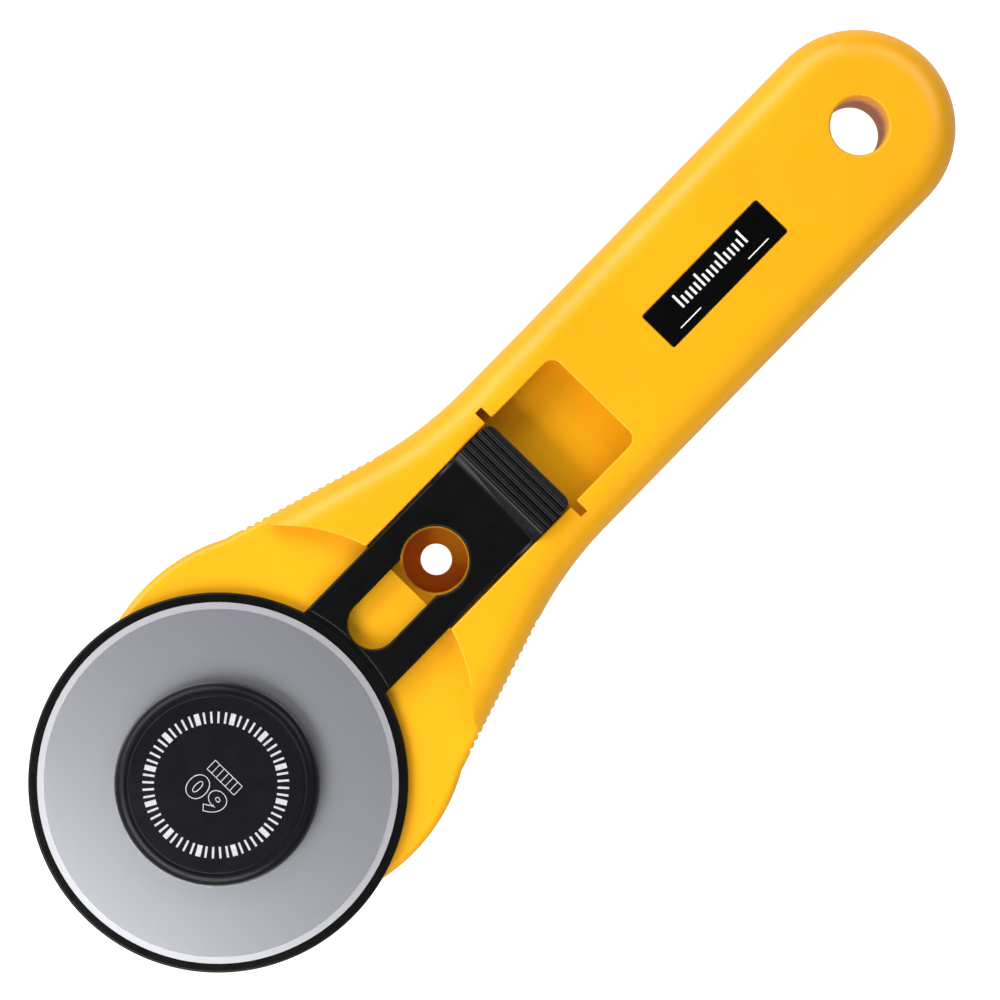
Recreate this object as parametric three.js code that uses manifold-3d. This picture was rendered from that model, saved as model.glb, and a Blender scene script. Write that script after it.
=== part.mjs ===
// A straight-handled rotary cutter for cloth, lying on its back with the blade side up.
// Millimetres, +Z up, +X from the cutting head to the hanging end of the handle.
// The bolt axis is first built at x = 0, then the whole part is moved so that the origin is the
// middle of its footprint, on the surface it lies on.
import * as THREE from "three";
import { mergeVertices } from "three/addons/utils/BufferGeometryUtils.js";
import Module from "manifold-3d";

const wasm = await Module();
wasm.setup();

// ---- Driving dimensions ----
const BLADE_R = 30; // a standard 60 mm blade
const BLADE_T = 0.3;
const BEVEL = 1.1; // width of the ground edge
const TRAVEL = 14.3; // how far the guard slides back to bare the blade

const GUARD_R = BLADE_R + 1.6;
const GUARD_T = 1.8;
const GAP = 0.1; // running gap between parts that slide or turn on each other

const GRIP_T = 18; // thickness of the handle
const GRIP_HALF = 16.5; // half its width along the straight grip
const GRIP_ROUND = 4.4; // rounding of its long edges
const END_X = 152.3; // centre of the round end, and of the hanging hole
const TAPER = THREE.MathUtils.degToRad(17.3); // each side widens at this angle towards the head
const FLARE_X = 75.3; // the taper begins here, with a hollow curve
const FLARE_R = 65;
const PART_Z = 10; // where the two halves of the handle meet
const HEAD_Z = 14.8; // front of the head plate
const PLATE_T = 3; // thickness of the head plate between its ribs
const HEAD_R = GUARD_R;
const STEP_R = HEAD_R + 0.9; // the grip ends on this arc, just clear of the drawn-back guard
const TIP_X = 36.8; // where the thin tips beside that arc are cut off square
const WALL = 2.3;

const CHANNEL_HALF = 9.8; // the guard's arm runs in this channel
const ARM_HALF = CHANNEL_HALF - 0.27;
const POCKET_END = 89.4; // far wall of the pocket that the thumb pad draws back into
const SINK_X = 45.3; // the channel floor drops here
const FLOOR_Z = 12.4;
const POST_X = 51.5; // counterbored hole under the arm's keyhole

const STUD_R = 4; // blade seat
const STUD_FLAT = 3.2; // half the width across its two flats
const THREAD_R = 2.95;
const CAP_R = 17;
const CAP_H = 4.2;

// ---- Levels of the stack on the bolt, from the handle forward ----
const guardZ = HEAD_Z + GAP;
const bladeZ = guardZ + GUARD_T + GAP;
const capZ = bladeZ + BLADE_T + GAP;
const armTop = GRIP_T - 0.2;
const handleEnd = END_X + GRIP_HALF;

// ---- Materials ----
const finish = (colour, roughness, metalness = 0) =>
  new THREE.MeshStandardMaterial({ color: new THREE.Color(colour), roughness, metalness });
const yellowPlastic = finish("#ffc30f", 0.38);
const blackPlastic = finish("#101011", 0.35);
const labelFoil = finish("#050505", 0.25);
const bladeSteel = finish("#c4c5cb", 0.3, 1);
const boltSteel = finish("#a9abb0", 0.28, 1);
const springSteel = finish("#b4b5b8", 0.25, 1);
const brass = finish("#b9975a", 0.32, 1);

// ---- Solids ----
const solidOf = (geometry) => {
  geometry.deleteAttribute("normal");
  geometry.deleteAttribute("uv");
  const g = mergeVertices(geometry, 1e-4);
  return new wasm.Manifold(
    new wasm.Mesh({
      numProp: 3,
      vertProperties: g.attributes.position.array,
      triVerts: new Uint32Array(g.index.array),
    }),
  );
};

const pieceOf = (name, solid, material) => {
  const m = solid.getMesh();
  const g = new THREE.BufferGeometry();
  g.setAttribute("position", new THREE.BufferAttribute(new Float32Array(m.vertProperties), 3));
  g.setIndex(new THREE.BufferAttribute(new Uint32Array(m.triVerts), 1));
  g.computeVertexNormals();
  const mesh = new THREE.Mesh(g, material);
  mesh.name = name;
  return mesh;
};

// Points along an arc, both ends included.
const arc = (x, y, r, from, to, steps) =>
  Array.from({ length: steps + 1 }, (_, i) => {
    const a = from + ((to - from) * i) / steps;
    return new THREE.Vector2(x + r * Math.cos(a), y + r * Math.sin(a));
  });
const circle = (x, y, r, steps) => arc(x, y, r, 0, 2 * Math.PI, steps).slice(0, -1);

// A rectangle with round corners.
const roundedBox = (x0, x1, y0, y1, r, steps = 4) => {
  const q = Math.PI / 2;
  return [
    ...arc(x1 - r, y1 - r, r, 0, q, steps),
    ...arc(x0 + r, y1 - r, r, q, 2 * q, steps),
    ...arc(x0 + r, y0 + r, r, 2 * q, 3 * q, steps),
    ...arc(x1 - r, y0 + r, r, 3 * q, 4 * q, steps),
  ];
};

// An outline raised from z0 to z1, with both rims rounded inwards if a rounding is given.
const prism = (points, z0, z1, round = 0, steps = 3) => {
  const g = new THREE.ExtrudeGeometry(new THREE.Shape(points), {
    depth: z1 - z0 - 2 * round,
    bevelEnabled: round > 0,
    bevelThickness: round,
    bevelSize: round,
    bevelOffset: -round,
    bevelSegments: steps,
  });
  g.translate(0, 0, z0 + round);
  return solidOf(g);
};
const drum = (x, y, r, z0, z1, steps = 32) => prism(circle(x, y, r, steps), z0, z1);
const block = (x0, x1, y0, y1, z0, z1) => {
  const g = new THREE.BoxGeometry(x1 - x0, y1 - y0, z1 - z0);
  g.translate((x0 + x1) / 2, (y0 + y1) / 2, (z0 + z1) / 2);
  return solidOf(g);
};

// A closed profile of [radius, z] points, counterclockwise, spun about the bolt axis.
const spun = (profile, steps = 48) => {
  const points = [...profile, profile[0]].map(([r, z]) => new THREE.Vector2(r, z));
  const g = new THREE.LatheGeometry(points, steps);
  g.rotateX(Math.PI / 2);
  return solidOf(g);
};

// ---- Handle ----
// The start of one tapered side, and its direction towards the head, at a given inset.
const taperStart = (inset) =>
  new THREE.Vector2(
    FLARE_X - (FLARE_R + inset) * Math.sin(TAPER),
    GRIP_HALF + FLARE_R - (FLARE_R + inset) * Math.cos(TAPER),
  );
const taperAlong = new THREE.Vector2(-Math.cos(TAPER), Math.sin(TAPER));

// The angle, seen from the head's centre, at which the tapered side runs into the round head.
const headCorner = (inset) => {
  const from = taperStart(inset).sub(new THREE.Vector2(TRAVEL, 0));
  const b = from.dot(taperAlong);
  const reach = -b - Math.sqrt(b * b - from.lengthSq() + (HEAD_R - inset) ** 2);
  return from.addScaledVector(taperAlong, reach).angle();
};

// Outline of the handle, taken in by an inset: round head, tapered sides, straight grip, round end.
const handleOutline = (inset = 0) => {
  const half = GRIP_HALF - inset;
  const flare = FLARE_R + inset;
  const corner = headCorner(inset);
  const q = Math.PI / 2;
  return [
    ...arc(END_X, 0, half, -q, q, 18),
    ...arc(FLARE_X, half + flare, flare, -q, -q - TAPER, 6),
    ...arc(TRAVEL, 0, HEAD_R - inset, corner, 2 * Math.PI - corner, 48),
    ...arc(FLARE_X, -half - flare, flare, q + TAPER, q, 6),
  ];
};

const TOOTH_PITCH = 1.5;
const TOOTH_DEPTH = 0.4;
const TEETH_COUNT = 15;
const TOOTH_Z = [GRIP_ROUND - 0.4, GRIP_T - GRIP_ROUND + 0.4];

// The V grooves that leave a row of grip teeth on both tapered sides.
const gripGrooves = () => {
  const grooves = [];
  const out = new THREE.Vector2(Math.sin(TAPER), Math.cos(TAPER));
  for (let i = 0; i < TEETH_COUNT; i++) {
    const skin = taperStart(0).addScaledVector(taperAlong, i * TOOTH_PITCH);
    const lip = skin.clone().addScaledVector(out, TOOTH_DEPTH);
    const triangle = [
      lip.clone().addScaledVector(taperAlong, TOOTH_PITCH / 2),
      skin.clone().addScaledVector(out, -TOOTH_DEPTH),
      lip.clone().addScaledVector(taperAlong, -TOOTH_PITCH / 2),
    ];
    grooves.push(prism(triangle, ...TOOTH_Z));
    grooves.push(prism(triangle.map(({ x, y }) => new THREE.Vector2(x, -y)).reverse(), ...TOOTH_Z));
  }
  return wasm.Manifold.union(grooves);
};

const HANG_R = 4.8;
const POST_R = 5.6; // counterbore
const PIN_HOLE_R = 2.7;
const NOTCH_X = 74.4;
const NOTCH_HALF = [0.7, 12.2];
const LUG = { x: 70.4, long: 1.2, reach: 11.9, z0: FLOOR_Z + 0.3, z1: FLOOR_Z + 2.3 };
const LABEL = { x0: 104.5, x1: 131.5, half: 3.7, thick: 0.22, deep: 0.3 };
const JOIN_POSTS = [
  [98.5, 9.5],
  [98.5, -9.5],
  [137.5, 9.5],
  [137.5, -9.5],
];
const POST_OUTER = 2.6;
const PIN_R = 1.2;
const PIN_LENGTH = 3;

// The handle's whole outside, before it is split and hollowed.
const handleBlank = () =>
  prism(handleOutline(), 0, GRIP_T, GRIP_ROUND, 3)
    .subtract(gripGrooves())
    .subtract(drum(END_X, 0, HANG_R, -1, GRIP_T + 1));

// The space the guard's round plate draws back into, between two levels.
const guardSpace = (z0, z1) =>
  drum(TRAVEL, 0, STEP_R, z0, z1, 80).add(block(TRAVEL, TIP_X, -40, 40, z0, z1));

// The room inside the grip, between two levels, with the bosses left standing in it.
const gripRoom = (z0, z1) => {
  const keepOut = [
    drum(TRAVEL, 0, STEP_R + WALL, z0 - 1, z1 + 1, 56),
    drum(END_X, 0, HANG_R + WALL, z0 - 1, z1 + 1),
    drum(POST_X, 0, POST_R + 1.6, z0 - 1, z1 + 1),
    ...JOIN_POSTS.map(([x, y]) => drum(x, y, POST_OUTER, z0 - 1, z1 + 1, 24)),
  ];
  return prism(handleOutline(WALL), z0, z1).subtract(wasm.Manifold.union(keepOut));
};

const HEAD_RIM_Z = 7;
const RIM_WIDTH = 2.2;
const BOSS_R = 9;
const BOSS_Z = 8.8; // the spring washer bears here
const SEAT_R = 13.4; // ring round the nut, which the ribs run into
const RIB_HALF = 0.7;
const RIB_Z = 8.4;
const RIB_ANGLES = [60, 90, 126, 162, 198, 234, 270, 300];
const plateBack = HEAD_Z - PLATE_T;

// Rim, bolt boss, ring and ribs behind the thin head plate.
const headStiffening = () => {
  const rim = drum(TRAVEL, 0, HEAD_R, HEAD_RIM_Z, plateBack + 1, 72)
    .subtract(drum(TRAVEL, 0, HEAD_R - RIM_WIDTH, HEAD_RIM_Z - 1, plateBack + 2, 72))
    .subtract(block(TIP_X - 1.5, 60, -40, 40, -1, 20));
  const boss = drum(0, 0, BOSS_R, BOSS_Z, plateBack + 1);
  const ring = drum(0, 0, SEAT_R + 1.4, RIB_Z, plateBack + 1).subtract(
    drum(0, 0, SEAT_R, RIB_Z - 1, plateBack + 2),
  );
  const ribs = RIB_ANGLES.map((degrees) =>
    block(SEAT_R + 0.5, 60, -RIB_HALF, RIB_HALF, RIB_Z, plateBack + 1).rotate([0, 0, degrees]),
  );
  const inside = drum(TRAVEL, 0, HEAD_R - 0.3, 0, plateBack + 0.5, 72);
  const bars = wasm.Manifold.union(ribs).intersect(inside);
  return wasm.Manifold.union([rim, boss, ring.intersect(inside), bars]);
};

// Front half: head plate, arm channel, thumb pocket, label recess.
const frontShell = () => {
  const channel = roundedBox(0, POCKET_END, -CHANNEL_HALF, CHANNEL_HALF, 1.8);
  const tubHalf = GRIP_HALF - WALL + 0.1;
  const tub = roundedBox(SINK_X - 1.8, POCKET_END + 1.8, -tubHalf, tubHalf, 2.4);
  const room = gripRoom(PART_Z - 1, GRIP_T - WALL).subtract(prism(tub, 0, GRIP_T));
  const lugRun = block(
    LUG.x - 0.8,
    LUG.x + LUG.long + TRAVEL + 0.8,
    -NOTCH_HALF[1],
    NOTCH_HALF[1],
    FLOOR_Z,
    LUG.z1 + 0.3,
  );
  const notches = block(
    NOTCH_X - NOTCH_HALF[0],
    NOTCH_X + NOTCH_HALF[0],
    -NOTCH_HALF[1],
    NOTCH_HALF[1],
    FLOOR_Z,
    GRIP_T + 1,
  );
  const boltHole = drum(0, 0, STUD_R + 0.15, 0, HEAD_Z + 1).intersect(
    block(-6, 6, -STUD_FLAT - 0.1, STUD_FLAT + 0.1, 0, HEAD_Z + 1),
  );
  const labelRecess = roundedBox(LABEL.x0 - 0.1, LABEL.x1 + 0.1, -LABEL.half - 0.1, LABEL.half + 0.1, 0.5);
  const sleeve = drum(POST_X, 0, POST_R + 1.6, WALL + GAP, FLOOR_Z);
  const pins = JOIN_POSTS.map(([x, y]) => drum(x, y, PIN_R, PART_Z - PIN_LENGTH, PART_Z + 1, 20));
  const behindHead = drum(TRAVEL, 0, HEAD_R + 0.4, 0, plateBack, 80).add(
    block(0, TIP_X - 1.5, -40, 40, 0, plateBack),
  );
  return handleBlank()
    .intersect(block(-100, 300, -60, 60, PART_Z, 60))
    .subtract(behindHead)
    .subtract(guardSpace(HEAD_Z, GRIP_T + 5))
    .subtract(prism(channel, HEAD_Z, GRIP_T + 5).intersect(block(20, 300, -60, 60, 0, 60)))
    .subtract(prism(channel, FLOOR_Z, GRIP_T + 5).intersect(block(SINK_X, 300, -60, 60, 0, 60)))
    .subtract(room)
    .add(sleeve)
    .subtract(drum(POST_X, 0, POST_R, 0, GRIP_T))
    .subtract(lugRun)
    .subtract(notches)
    .subtract(prism(labelRecess, GRIP_T - LABEL.deep, GRIP_T + 1))
    .add(headStiffening())
    .subtract(boltHole)
    .add(wasm.Manifold.union(pins));
};

// Back half: the other side of the grip, ending on the same arc as the front.
const backShell = () => {
  const socketZ = PART_Z - PIN_LENGTH - 0.5;
  const sockets = JOIN_POSTS.map(([x, y]) => drum(x, y, PIN_R + 0.15, socketZ, PART_Z + 1, 20));
  const room = gripRoom(WALL, PART_Z + 1).add(drum(POST_X, 0, POST_R + 1.7, WALL, PART_Z + 1));
  return handleBlank()
    .intersect(block(-100, 300, -60, 60, -1, PART_Z - 0.02))
    .subtract(guardSpace(-1, PART_Z + 1))
    .add(drum(POST_X, 0, POST_R + 1.8, 0, WALL))
    .subtract(room)
    .subtract(wasm.Manifold.union(sockets))
    .subtract(drum(POST_X, 0, PIN_HOLE_R, -1, PART_Z, 32));
};

const labelPlate = () => {
  const top = GRIP_T - (LABEL.deep - LABEL.thick) / 2;
  return prism(roundedBox(LABEL.x0, LABEL.x1, -LABEL.half, LABEL.half, 0.4), top - LABEL.thick, top);
};

// ---- Guard ----
const PAD = { x0: 67.6, x1: 74.3, top: GRIP_T + 2.2, ramp: 3.5 };
const RIDGES = 5;
const RIDGE_DEPTH = 0.55;
const KEYHOLE_R = 5.75;
const SLOT_HALF = 4.2;
const SLOT_X = 36.3; // centre of the slot's round end

// Thumb pad, drawn from the side: a ramp up, a row of cross ridges, a drop at the back.
const thumbPad = () => {
  const pitch = (PAD.x1 - PAD.x0) / RIDGES;
  const side = [
    [PAD.x0 - PAD.ramp - 3, FLOOR_Z + 0.2],
    [PAD.x1, FLOOR_Z + 0.2],
    [PAD.x1, PAD.top - 0.6],
  ];
  for (let i = RIDGES; i > 0; i--) {
    const x = PAD.x0 + i * pitch;
    side.push([x - 0.3 * pitch, PAD.top], [x - 0.7 * pitch, PAD.top], [x - pitch, PAD.top - RIDGE_DEPTH]);
  }
  side.push([PAD.x0 - PAD.ramp, armTop], [PAD.x0 - PAD.ramp - 3, armTop]);
  const shape = new THREE.Shape(side.map(([x, z]) => new THREE.Vector2(x, z)));
  const g = new THREE.ExtrudeGeometry(shape, { depth: 2 * ARM_HALF, bevelEnabled: false });
  g.rotateX(Math.PI / 2);
  g.translate(0, ARM_HALF, 0);
  return solidOf(g);
};

// Round guard plate, arm and thumb pad, moulded as one piece.
const guard = () => {
  const armOutline = roundedBox(20, PAD.x1, -ARM_HALF, ARM_HALF, 1.5);
  const keyhole = [
    ...arc(SLOT_X, 0, SLOT_HALF, Math.PI / 2, (3 * Math.PI) / 2, 16),
    new THREE.Vector2(POST_X, -SLOT_HALF),
    new THREE.Vector2(POST_X, SLOT_HALF),
  ];
  const boltSlot = roundedBox(-TRAVEL - STUD_R - 0.4, STUD_R + 0.4, -STUD_FLAT - 0.15, STUD_FLAT + 0.15, 0.7);
  const lugs = block(LUG.x, LUG.x + LUG.long, -LUG.reach, LUG.reach, LUG.z0, LUG.z1);
  return prism(circle(0, 0, GUARD_R, 96), guardZ, guardZ + GUARD_T, 0.35, 1)
    .add(
      prism(armOutline, guardZ, armTop, 0.3, 1)
        .add(thumbPad().intersect(prism(armOutline, FLOOR_Z, PAD.top + 1)))
        .subtract(drum(0, 0, GUARD_R + 0.7, guardZ + GUARD_T, GRIP_T + 5, 96)),
    )
    .add(lugs)
    .subtract(prism(keyhole, 0, GRIP_T + 5))
    .subtract(drum(POST_X, 0, KEYHOLE_R, 0, GRIP_T + 5))
    .subtract(prism(boltSlot, 0, GRIP_T));
};

// ---- Blade ----
const blade = () => {
  const edge = 0.02;
  const middle = bladeZ + BLADE_T / 2;
  return spun(
    [
      [STUD_R + 0.12, bladeZ],
      [BLADE_R - BEVEL, bladeZ],
      [BLADE_R, middle - edge],
      [BLADE_R, middle + edge],
      [BLADE_R - BEVEL, bladeZ + BLADE_T],
      [STUD_R + 0.12, bladeZ + BLADE_T],
    ],
    84,
  );
};

// ---- Bolt: a steel stud with its flange moulded into a wide plastic cap ----
const FLANGE_R = 6;
const FLANGE_Z = [capZ + 0.6, capZ + 2.1];

const boltCap = () => {
  const flat = 14.9;
  const slack = 0.05;
  const top = capZ + CAP_H;
  return spun(
    [
      [STUD_R + slack, capZ],
      [CAP_R - 0.5, capZ],
      [CAP_R, capZ + 0.5],
      [CAP_R, capZ + 2.6],
      [CAP_R - 0.5, capZ + 3.5],
      [flat, top],
      [0, top],
      [0, FLANGE_Z[1] + slack],
      [FLANGE_R + slack, FLANGE_Z[1] + slack],
      [FLANGE_R + slack, FLANGE_Z[0] - slack],
      [STUD_R + slack, FLANGE_Z[0] - slack],
    ],
    48,
  );
};

const STUD_END = 3;

const boltStud = () => {
  const flats = block(-10, 10, -STUD_FLAT, STUD_FLAT, BOSS_Z + 0.2, bladeZ - 0.05);
  return spun(
    [
      [0, STUD_END],
      [THREAD_R - 0.5, STUD_END],
      [THREAD_R, STUD_END + 0.5],
      [THREAD_R, BOSS_Z + 1],
      [0, BOSS_Z + 1],
    ],
    32,
  )
    .add(drum(0, 0, STUD_R, BOSS_Z + 0.2, bladeZ - 0.05).intersect(flats))
    .add(drum(0, 0, STUD_R, bladeZ - 0.06, FLANGE_Z[0] + 0.1))
    .add(drum(0, 0, FLANGE_R, FLANGE_Z[0], FLANGE_Z[1]));
};

// ---- Spring washer and nut, behind the head plate ----
const WASHER = { inner: 3.3, outer: 7.6, thick: 0.45, wave: 0.22, waves: 3 };
const washerZ = BOSS_Z - GAP - WASHER.wave - WASHER.thick / 2;

const springWasher = () => {
  const turn = 60;
  const points = [];
  const faces = [];
  const corner = (i, k) => (i % turn) * 4 + k;
  for (let i = 0; i < turn; i++) {
    const a = (2 * Math.PI * i) / turn;
    const lift = washerZ + WASHER.wave * Math.cos(WASHER.waves * a);
    for (const [r, side] of [[WASHER.inner, -1], [WASHER.outer, -1], [WASHER.outer, 1], [WASHER.inner, 1]]) {
      points.push(r * Math.cos(a), r * Math.sin(a), lift + (side * WASHER.thick) / 2);
    }
    for (let k = 0; k < 4; k++) {
      const [a0, a1] = [corner(i, k), corner(i, (k + 1) % 4)];
      const [b0, b1] = [corner(i + 1, k), corner(i + 1, (k + 1) % 4)];
      faces.push(a0, a1, b1, a0, b1, b0);
    }
  }
  const g = new THREE.BufferGeometry();
  g.setAttribute("position", new THREE.BufferAttribute(new Float32Array(points), 3));
  g.setIndex(faces.map((_, i) => faces[i - (i % 3) + [0, 2, 1][i % 3]]));
  return solidOf(g);
};

const nutTop = washerZ - WASHER.wave - WASHER.thick / 2 - GAP;
const NUT_BOTTOM = nutTop - 5.6;
const NUT_R = 11.5;
const KNURLS = 24;
const HEX_R = 5.2; // across the corners of the threaded insert
const hexagon = (r) => circle(0, 0, r, 6);

// Plastic thumb nut: knurled rim, and two finger hollows that leave a bar across its face.
const nutKnob = () => {
  const rim = arc(0, 0, NUT_R, 0, 2 * Math.PI, KNURLS * 4)
    .slice(0, -1)
    .map((p, i) => p.multiplyScalar(i % 4 === 0 ? 1 - 0.4 / NUT_R : 1));
  const barHalf = 3.1;
  const hollow = drum(0, 0, NUT_R - 1.7, NUT_BOTTOM - 1, NUT_BOTTOM + 2.6)
    .subtract(drum(0, 0, HEX_R + 1.2, NUT_BOTTOM - 2, nutTop))
    .subtract(block(-20, 20, -barHalf, barHalf, NUT_BOTTOM - 2, nutTop));
  return prism(rim, NUT_BOTTOM, nutTop, 0.4, 1)
    .subtract(hollow)
    .subtract(prism(hexagon(HEX_R + 0.06), NUT_BOTTOM + 1.4, nutTop + 1))
    .subtract(drum(0, 0, THREAD_R + 0.6, NUT_BOTTOM - 1, nutTop + 1, 32));
};

const nutInsert = () =>
  prism(hexagon(HEX_R), NUT_BOTTOM + 1.5, nutTop - 0.1).subtract(
    drum(0, 0, THREAD_R + 0.12, 0, nutTop + 1, 32),
  );

// ---- Assembly ----
const cutter = new THREE.Group();
cutter.add(
  pieceOf("handle_front_shell", frontShell(), yellowPlastic),
  pieceOf("handle_back_shell", backShell(), yellowPlastic),
  pieceOf("label_plate", labelPlate(), labelFoil),
  pieceOf("blade_guard", guard(), blackPlastic),
  pieceOf("rotary_blade", blade(), bladeSteel),
  pieceOf("bolt_cap", boltCap(), blackPlastic),
  pieceOf("bolt_stud", boltStud(), boltSteel),
  pieceOf("spring_washer", springWasher(), springSteel),
  pieceOf("nut_knob", nutKnob(), blackPlastic),
  pieceOf("nut_insert", nutInsert(), brass),
);
cutter.position.x = -(handleEnd - GUARD_R) / 2;

const root = new THREE.Group();
root.add(cutter);
export default root;
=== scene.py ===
import math

import bmesh
import bpy
from mathutils import Matrix, Vector


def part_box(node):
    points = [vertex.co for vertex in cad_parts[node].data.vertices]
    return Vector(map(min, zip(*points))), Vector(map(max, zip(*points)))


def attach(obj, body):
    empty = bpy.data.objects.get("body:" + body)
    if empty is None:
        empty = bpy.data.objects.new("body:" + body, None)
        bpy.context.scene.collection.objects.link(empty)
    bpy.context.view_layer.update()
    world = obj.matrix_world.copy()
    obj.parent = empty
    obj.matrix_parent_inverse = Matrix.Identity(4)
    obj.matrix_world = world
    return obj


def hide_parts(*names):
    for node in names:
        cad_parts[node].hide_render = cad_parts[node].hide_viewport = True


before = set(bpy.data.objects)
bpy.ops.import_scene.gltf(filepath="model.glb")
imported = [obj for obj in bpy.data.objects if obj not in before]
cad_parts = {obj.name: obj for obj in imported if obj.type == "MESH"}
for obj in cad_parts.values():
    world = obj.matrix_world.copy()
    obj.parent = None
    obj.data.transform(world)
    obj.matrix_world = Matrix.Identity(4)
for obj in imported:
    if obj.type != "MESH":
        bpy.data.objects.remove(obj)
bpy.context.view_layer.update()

# ---- Handle, front half ----
# A thick yellow moulding: the grip with its thumb channel, and the thin round head plate that the
# blade's bolt goes through. It is welded to the back half round its edge, and carries all the rest.
MM = 0.001
blade_low, blade_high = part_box("rotary_blade")
BOLT_X = (blade_low.x + blade_high.x) / 2


def low(node):
    """Lowest corner of a CAD part, in millimetres from the bolt's axis."""
    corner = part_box(node)[0]
    return (corner.x - BOLT_X) / MM, corner.y / MM, corner.z / MM


def high(node):
    """Highest corner of a CAD part, in millimetres from the bolt's axis."""
    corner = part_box(node)[1]
    return (corner.x - BOLT_X) / MM, corner.y / MM, corner.z / MM


# Heights are above the table, and distances along the grip are from the bolt's axis, in millimetres.
GRIP_TOP = high("handle_front_shell")[2]
JOINT_Z = high("handle_back_shell")[2]
GRIP_END = high("handle_front_shell")[0]
GUARD_R = high("blade_guard")[1]
TRAVEL = GUARD_R + low("handle_front_shell")[0]
HEAD_R = GUARD_R
HEAD_TOP = low("rotary_blade")[2] - 2.0
PLATE_BACK = HEAD_TOP - 3.0
RIM_Z = 7.0
STEP_R = HEAD_R + 0.9
TIP_X = 36.8

GRIP_HALF = 16.5
HANG_X = GRIP_END - GRIP_HALF
TAPER = math.radians(17.3)
FLARE_X = 75.3
FLARE_R = 65.0
EDGE_WIDE = 5.6
EDGE_TALL = 5.0

QUARTER = math.pi / 2


def arc(x, y, r, start, end, steps):
    """Points along an arc, both ends included."""
    angles = [start + (end - start) * i / steps for i in range(steps + 1)]
    return [(x + r * math.cos(a), y + r * math.sin(a)) for a in angles]


def disc(x, y, r, steps=96):
    """An outline function: a circle, taken in by an inset."""
    return lambda inset=0.0: arc(x, y, r - inset, 0, 2 * math.pi, steps)[:-1]


def panel(x0, x1, y0, y1, r, steps=8):
    """An outline function: a rectangle with round corners, taken in by an inset."""

    def outline(inset=0.0):
        k = max(r - inset, 0.01)
        a, b, c, d = x0 + inset, x1 - inset, y0 + inset, y1 - inset
        return (
            arc(b - k, d - k, k, 0, QUARTER, steps)
            + arc(a + k, d - k, k, QUARTER, 2 * QUARTER, steps)
            + arc(a + k, c + k, k, 2 * QUARTER, 3 * QUARTER, steps)
            + arc(b - k, c + k, k, 3 * QUARTER, 4 * QUARTER, steps)
        )

    return outline


def taper_start(inset=0.0):
    """Where one tapered side leaves the hollow curve beside the straight grip."""
    r = FLARE_R + inset
    return FLARE_X - r * math.sin(TAPER), GRIP_HALF + FLARE_R - r * math.cos(TAPER)


def handle_outline(inset=0.0):
    """Outline of the whole handle: round head, tapered sides, straight grip, round end."""
    half = GRIP_HALF - inset
    flare = FLARE_R + inset
    x, y = taper_start(inset)
    x -= TRAVEL
    along = -x * math.cos(TAPER) + y * math.sin(TAPER)
    reach = -along - math.sqrt(along**2 - x * x - y * y + (HEAD_R - inset) ** 2)
    corner = math.atan2(y + reach * math.sin(TAPER), x - reach * math.cos(TAPER))
    return (
        arc(HANG_X, 0, half, -QUARTER, QUARTER, 48)
        + arc(FLARE_X, half + flare, flare, -QUARTER, -QUARTER - TAPER, 14)
        + arc(TRAVEL, 0, HEAD_R - inset, corner, 2 * math.pi - corner, 110)
        + arc(FLARE_X, -half - flare, flare, QUARTER + TAPER, QUARTER, 14)
    )


def rings(outline, z0, z1, foot=(0, 0), head=(0, 0), steps=8):
    """Rings of a prism. Its foot and head are rounded by (inset, height): outwards if negative."""
    loops = []
    if foot[1]:
        for i in range(steps):
            a = QUARTER * (1 - i / steps)
            loops.append((outline(foot[0] * (1 - math.cos(a))), z0 + foot[1] * (1 - math.sin(a))))
    loops.append((outline(), z0 + foot[1]))
    loops.append((outline(), z1 - head[1]))
    if head[1]:
        for i in range(1, steps + 1):
            a = QUARTER * i / steps
            loops.append((outline(head[0] * (1 - math.cos(a))), z1 - head[1] * (1 - math.sin(a))))
    return loops


def solid(name, loops):
    """A closed mesh through rings of points, in millimetres from the bolt's axis."""
    work = bmesh.new()
    rows = [
        [work.verts.new((BOLT_X + x * MM, y * MM, z * MM)) for x, y in points] for points, z in loops
    ]
    count = len(rows[0])
    for below, above in zip(rows, rows[1:]):
        for i in range(count):
            j = (i + 1) % count
            work.faces.new((below[i], below[j], above[j], above[i]))
    work.faces.new(list(reversed(rows[0])))
    work.faces.new(rows[-1])
    return as_object(name, work)


def as_object(name, work):
    """Turns a mesh in the making into an object, and frees it."""
    mesh = bpy.data.meshes.new(name)
    work.to_mesh(mesh)
    work.free()
    piece = bpy.data.objects.new(name, mesh)
    bpy.context.scene.collection.objects.link(piece)
    return piece


def cutter(outline, z0, z1, lip=0.0, foot_lip=0.0):
    """A solid to cut with. A lip rounds the edge that it leaves where it comes out at z1 or z0."""
    loops = rings(outline, z0, z1 + 0.003, (-foot_lip, foot_lip), (-lip, lip))
    if lip:
        loops.append((outline(-lip), z1 + 6))
    if foot_lip:
        loops.insert(0, (outline(-foot_lip), z0 - 6))
    return solid("cutter", loops)


def settle(piece):
    """Turns a piece and its modifiers into a plain mesh."""
    evaluated = piece.evaluated_get(bpy.context.evaluated_depsgraph_get())
    mesh = bpy.data.meshes.new_from_object(evaluated)
    piece.modifiers.clear()
    piece.data = mesh
    return piece


def combine(piece, how, *tools):
    """Joins, cuts or trims a piece with other solids, which are used up."""
    for tool in tools:
        modifier = piece.modifiers.new("combine", "BOOLEAN")
        modifier.operation = how
        modifier.solver = "EXACT"
        modifier.object = tool
    settle(piece)
    for tool in tools:
        bpy.data.objects.remove(tool)
    return piece


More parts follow.
